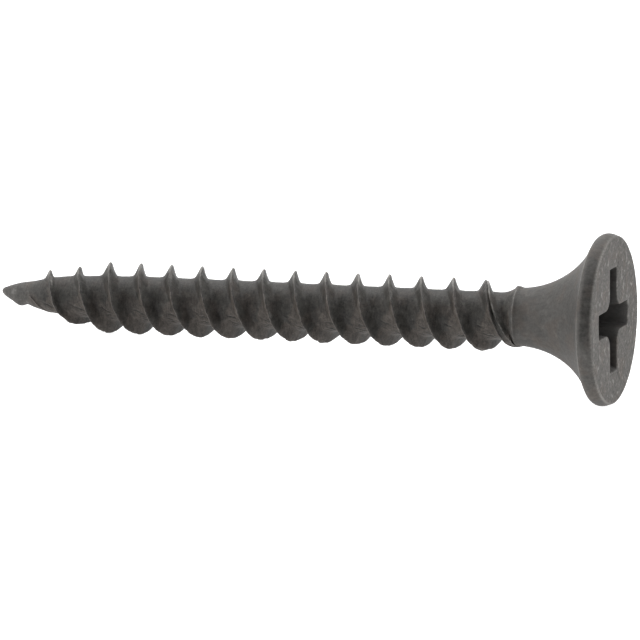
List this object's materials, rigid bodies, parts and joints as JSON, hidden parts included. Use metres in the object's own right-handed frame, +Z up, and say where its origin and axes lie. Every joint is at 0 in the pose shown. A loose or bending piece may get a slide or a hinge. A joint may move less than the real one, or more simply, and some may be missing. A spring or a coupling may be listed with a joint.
{
  "type": "bugle-head wood screw",
  "caption": "Black phosphated wood screw with a concave bugle head, a cross recess for a driver, a short plain neck, sharp helical threads and a tapered self-starting point.",
  "frame": {"origin": "centre of the head's flat face, where the screw's axis leaves it", "axes": "+X along the screw's axis out of the head, so the point is at X = -32 mm; +Z up and +Y to the right as seen by someone looking at the head's face"},
  "size_m": [0.032, 0.0082, 0.0082],
  "materials": {
    "head_phosphate": "matte black phosphate on forged steel, fine grey speckle, worn pale on the rim and recess edges",
    "shank_phosphate": "matte black phosphate on rolled steel, faint brown cast",
    "thread_phosphate": "matte black phosphate on rolled thread, rubbed paler along the crests"
  },
  "bodies": {
    "root": {"bugle_head": "head_phosphate", "plain_neck": "shank_phosphate", "threaded_core": "shank_phosphate", "thread_start_a": "thread_phosphate", "thread_start_b": "thread_phosphate", "gimlet_point": "shank_phosphate"}
  },
  "joints": []
}
